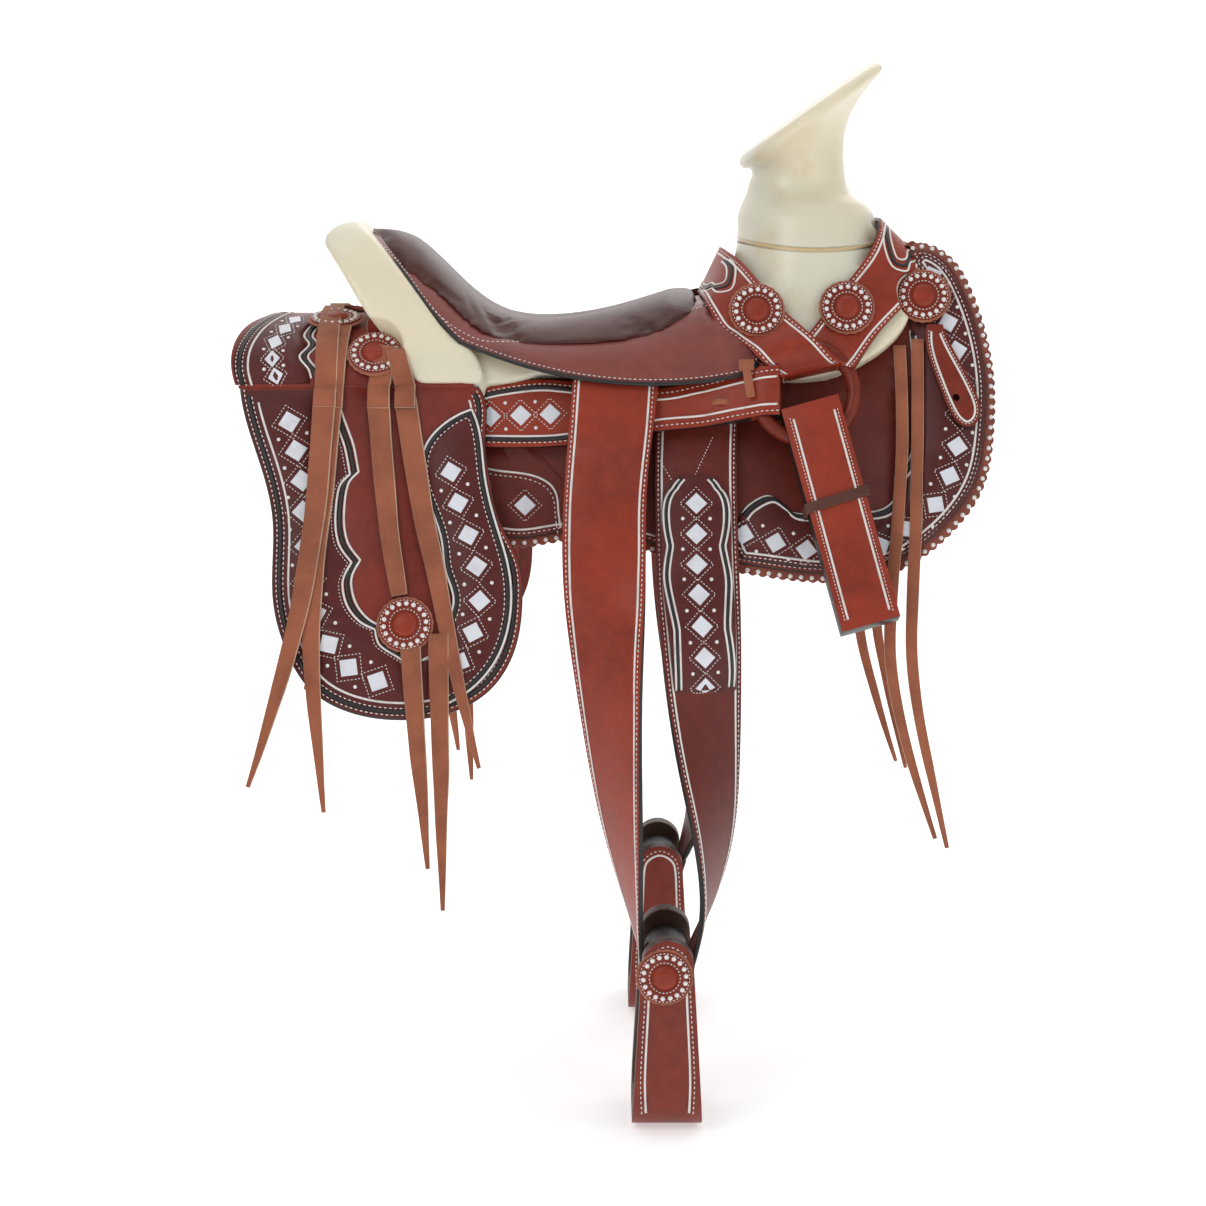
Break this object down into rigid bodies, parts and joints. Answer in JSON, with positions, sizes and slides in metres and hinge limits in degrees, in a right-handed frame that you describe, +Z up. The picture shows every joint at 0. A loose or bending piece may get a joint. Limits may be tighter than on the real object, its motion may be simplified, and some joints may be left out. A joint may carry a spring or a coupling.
{
  "type": "western saddle",
  "caption": "Horse saddle with a rawhide tree, tall horn, padded seat, saddlebags, skirts, crossed rigging straps, hanging latigos, billets, saddle strings and turned stirrups.",
  "frame": {"origin": "on the centre plane, 25 mm under the top of the rounded ridge that the saddlebag's yoke and the tree's underside follow, and under the seat; the mount rack_rest is there", "axes": "+X forward towards the horn, +Y to the saddle's left side, +Z up"},
  "size_m": [0.7291, 0.6114, 0.9957],
  "materials": {
    "rawhide": "matte ivory rawhide laced over the wooden tree",
    "seat_leather": "smooth mauve-brown leather",
    "padded_leather": "smooth padded dark brown leather",
    "skirt_leather": "semi-gloss dark red-brown leather",
    "strap_leather": "semi-gloss orange-red-brown strap leather",
    "border_leather": "semi-gloss red-brown leather with stitched pattern",
    "trim_leather": "matte pinkish tan scalloped leather",
    "lining": "woolly lining",
    "string_suede": "matte tan-brown suede",
    "stirrup_leather": "stitched leather cover",
    "stirrup_wood": "dark wood",
    "steel": "plain steel bolt",
    "roller": "black roller"
  },
  "bodies": {
    "saddle": {"horn_and_fork": "rawhide", "cantle": "rawhide", "bar_right": "rawhide", "bar_left": "rawhide", "seat_leather": "seat_leather", "seat_pad": "padded_leather", "seat_thongs": "string_suede", "skirt_right": "skirt_leather", "skirt_left": "skirt_leather", "skirt_trim_right": "trim_leather", "skirt_trim_left": "trim_leather", "skirt_lining_right": "lining", "skirt_lining_left": "lining", "skirt_border_right": "border_leather", "skirt_border_left": "border_leather", "saddlebag_yoke": "skirt_leather", "saddlebag_pocket_right": "skirt_leather", "saddlebag_pocket_left": "skirt_leather", "rigging_strap_behind_horn": "strap_leather", "rigging_strap_before_horn": "strap_leather", "cinch_ring_right": "strap_leather", "cinch_ring_left": "strap_leather", "side_strap_right": "strap_leather", "side_strap_left": "strap_leather", "rosettes": "strap_leather", "front_strings_right": "string_suede", "front_strings_left": "string_suede"},
    "flap_right": {"saddlebag_flap_right": "skirt_leather", "saddlebag_border_right": "border_leather", "rosette_flap_right": "strap_leather", "rear_strings_right": "string_suede"},
    "leather_right": {"stirrup_leather_rear_leg_right": "strap_leather", "stirrup_leather_front_leg_right": "strap_leather", "leather_overlay_right": "border_leather"},
    "stirrup_right": {"stirrup_frame_right": "stirrup_wood", "stirrup_cover_right": "stirrup_leather", "stirrup_bolt_right": "steel", "rosette_stirrup_right": "strap_leather"},
    "roller_right": {"stirrup_roller_right": "roller"},
    "latigo_right": {"latigo_right": "strap_leather", "latigo_keeper_right": "string_suede"},
    "billet_right": {"billet_right": "strap_leather"},
    "flap_left": {"saddlebag_flap_left": "skirt_leather", "saddlebag_border_left": "border_leather", "rosette_flap_left": "strap_leather", "rear_strings_left": "string_suede"},
    "leather_left": {"stirrup_leather_rear_leg_left": "strap_leather", "stirrup_leather_front_leg_left": "strap_leather", "leather_overlay_left": "border_leather"},
    "stirrup_left": {"stirrup_frame_left": "stirrup_wood", "stirrup_cover_left": "stirrup_leather", "stirrup_bolt_left": "steel", "rosette_stirrup_left": "strap_leather"},
    "roller_left": {"stirrup_roller_left": "roller"},
    "latigo_left": {"latigo_left": "strap_leather", "latigo_keeper_left": "string_suede"},
    "billet_left": {"billet_left": "strap_leather"}
  },
  "joints": [
    {"name": "leather_swing_right", "type": "hinge", "parent": "saddle", "child": "leather_right", "pos_m": [0.05, -0.12045, -0.03584], "axis": [0, -0.9397, 0.342], "range_deg": [-4, 20]},
    {"name": "stirrup_pivot_right", "type": "hinge", "parent": "leather_right", "child": "stirrup_right", "pos_m": [0.06, -0.2, -0.575], "axis": [0, -1, 0], "range_deg": [-60, 60]},
    {"name": "roller_spin_right", "type": "hinge", "parent": "stirrup_right", "child": "roller_right", "pos_m": [0.06, -0.2, -0.575], "axis": [0, -1, 0], "continuous": true},
    {"name": "flap_lift_right", "type": "hinge", "parent": "saddle", "child": "flap_right", "pos_m": [-0.23, -0.12968, -0.0378], "axis": [-1, 0, 0], "range_deg": [0, 60]},
    {"name": "latigo_swing_right", "type": "hinge", "parent": "saddle", "child": "latigo_right", "pos_m": [0.191, -0.13711, -0.04361], "axis": [0, -0.9397, 0.342], "range_deg": [0, 25]},
    {"name": "billet_lift_right", "type": "hinge", "parent": "saddle", "child": "billet_right", "pos_m": [0.317, -0.08609, 0.01763], "axis": [-0.9703, -0.0827, -0.2273], "range_deg": [0, 20]},
    {"name": "leather_swing_left", "type": "hinge", "parent": "saddle", "child": "leather_left", "pos_m": [0.05, 0.12045, -0.03584], "axis": [0, -0.9397, -0.342], "range_deg": [-4, 20]},
    {"name": "stirrup_pivot_left", "type": "hinge", "parent": "leather_left", "child": "stirrup_left", "pos_m": [0.06, 0.2, -0.575], "axis": [0, -1, 0], "range_deg": [-60, 60]},
    {"name": "roller_spin_left", "type": "hinge", "parent": "stirrup_left", "child": "roller_left", "pos_m": [0.06, 0.2, -0.575], "axis": [0, -1, 0], "continuous": true},
    {"name": "flap_lift_left", "type": "hinge", "parent": "saddle", "child": "flap_left", "pos_m": [-0.23, 0.12968, -0.0378], "axis": [1, 0, 0], "range_deg": [0, 60]},
    {"name": "latigo_swing_left", "type": "hinge", "parent": "saddle", "child": "latigo_left", "pos_m": [0.191, 0.13711, -0.04361], "axis": [0, -0.9397, -0.342], "range_deg": [0, 25]},
    {"name": "billet_lift_left", "type": "hinge", "parent": "saddle", "child": "billet_left", "pos_m": [0.317, 0.08609, 0.01763], "axis": [0.9703, -0.0827, 0.2273], "range_deg": [0, 20]}
  ]
}
